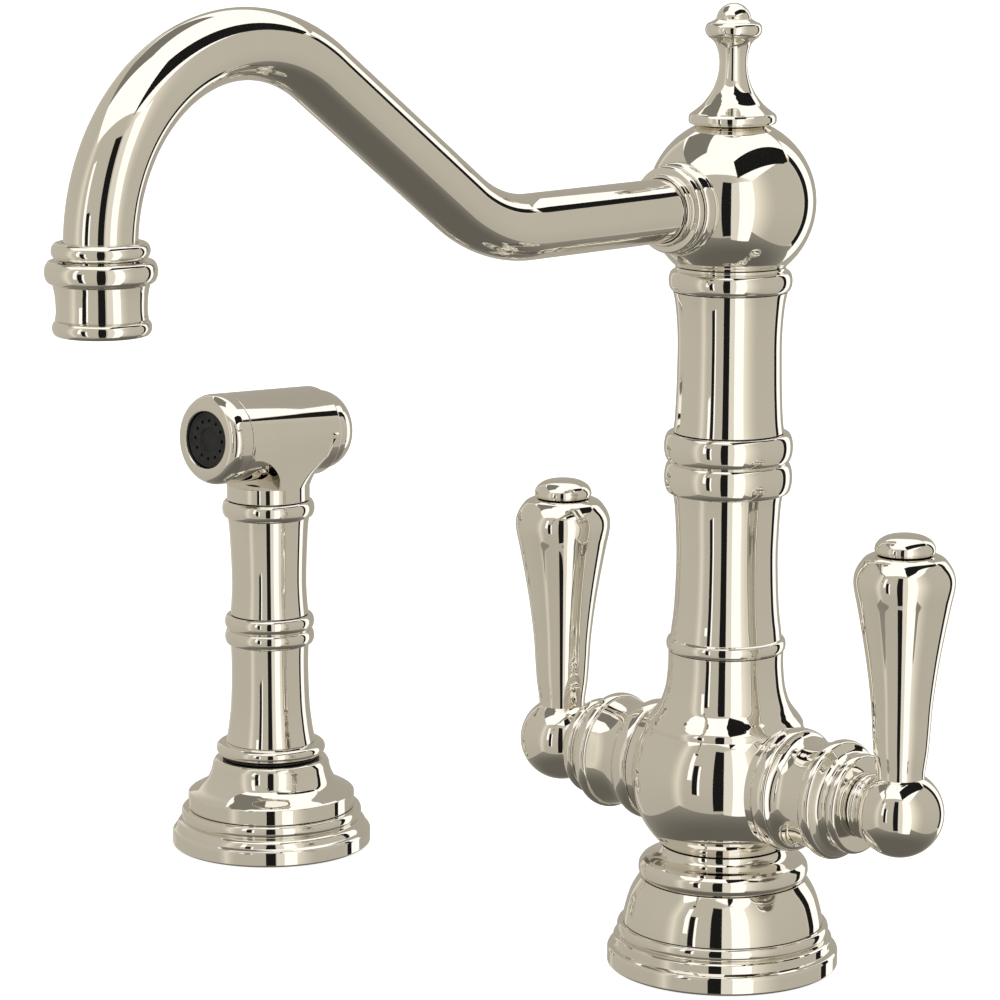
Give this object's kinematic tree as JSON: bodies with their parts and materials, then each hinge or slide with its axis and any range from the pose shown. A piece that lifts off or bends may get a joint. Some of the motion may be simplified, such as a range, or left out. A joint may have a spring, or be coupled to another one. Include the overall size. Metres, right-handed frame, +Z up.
{
  "type": "two-handle kitchen mixer with hand spray",
  "caption": "Column kitchen mixer with a swan-neck swivel spout, club levers on both sides and a separate hand spray in its own deck holder, all in polished nickel.",
  "frame": {"origin": "centre of the mixer's base on the worktop plane", "axes": "+Z up along the column; the spout and the spray head point along -Y; the levers turn about X; the hand spray stands on the -X side"},
  "size_m": [0.3203, 0.3033, 0.3048],
  "materials": {
    "polished_nickel": "mirror-polished warm nickel plate",
    "brass": "machined, unplated",
    "stainless": "plain drawn steel",
    "black_rubber": "moulded matt",
    "black_plastic": "moulded, slightly glossy",
    "white_plastic": "moulded",
    "ceramic": "lapped ceramic"
  },
  "bodies": {
    "mixer": {"base_flange": "polished_nickel", "base_gasket": "black_rubber", "base_dome": "polished_nickel", "base_collar": "polished_nickel", "mixer_body": "polished_nickel", "column_lower": "polished_nickel", "column_middle_collar": "polished_nickel", "column_upper": "polished_nickel", "column_top_collar": "polished_nickel", "riser_tube": "brass", "swivel_bush": "white_plastic", "hot_port_ring": "polished_nickel", "hot_bonnet": "polished_nickel", "hot_ceramic_discs": "ceramic", "hot_cartridge": "brass", "cold_port_ring": "polished_nickel", "cold_bonnet": "polished_nickel", "cold_ceramic_discs": "ceramic", "cold_cartridge": "brass", "spray_base_flange": "polished_nickel", "spray_base_gasket": "black_rubber", "spray_holder_bell": "polished_nickel", "spray_guide_sleeve": "black_plastic"},
    "spout": {"spout_ball": "polished_nickel", "swivel_spigot": "brass", "swivel_o_ring_lower": "black_rubber", "swivel_o_ring_upper": "black_rubber", "spout_seat_ring": "polished_nickel", "spout_lock_ring": "polished_nickel", "spout_tube": "polished_nickel", "finial_bush": "brass", "finial": "polished_nickel", "nozzle_collar": "polished_nickel", "nozzle_housing": "polished_nickel", "aerator_insert": "black_plastic", "aerator_washer": "black_rubber"},
    "hot_lever": {"hot_spindle": "brass", "hot_lever_hub": "polished_nickel", "hot_lever_screw": "stainless", "hot_lever_arm": "polished_nickel", "hot_lever_cap": "polished_nickel"},
    "cold_lever": {"cold_spindle": "brass", "cold_lever_hub": "polished_nickel", "cold_lever_screw": "stainless", "cold_lever_arm": "polished_nickel", "cold_lever_cap": "polished_nickel"},
    "handset": {"spray_ferrule": "polished_nickel", "spray_handle_lower": "polished_nickel", "spray_middle_ring": "polished_nickel", "spray_handle_upper": "polished_nickel", "spray_neck_ring": "polished_nickel", "spray_hose_nipple": "brass", "spray_waterway": "white_plastic", "spray_head": "polished_nickel", "spray_face_ring": "polished_nickel", "spray_plate": "black_plastic", "spray_valve_seat": "brass", "spray_valve_spring": "stainless"},
    "thumb_button": {"spray_button": "polished_nickel", "spray_plunger": "brass"}
  },
  "joints": [
    {"name": "spout_swivel", "type": "hinge", "parent": "mixer", "child": "spout", "pos_m": [0, 0, 0.2197], "axis": [0, 0, 1], "continuous": true},
    {"name": "hot_lever_turn", "type": "hinge", "parent": "mixer", "child": "hot_lever", "pos_m": [-0.0675, 0, 0.0607], "axis": [1, 0, 0], "range_deg": [0, 90]},
    {"name": "cold_lever_turn", "type": "hinge", "parent": "mixer", "child": "cold_lever", "pos_m": [0.0675, 0, 0.0607], "axis": [1, 0, 0], "range_deg": [0, 90]},
    {"name": "handset_lift", "type": "slide", "parent": "mixer", "child": "handset", "axis": [0, 0, 1], "range_m": [0, 0.08]},
    {"name": "button_press", "type": "slide", "parent": "handset", "child": "thumb_button", "axis": [0, -0.9986, 0.0523], "range_m": [0, 0.0035], "stiffness_N_per_m": 900, "springref_m": -0.002}
  ]
}
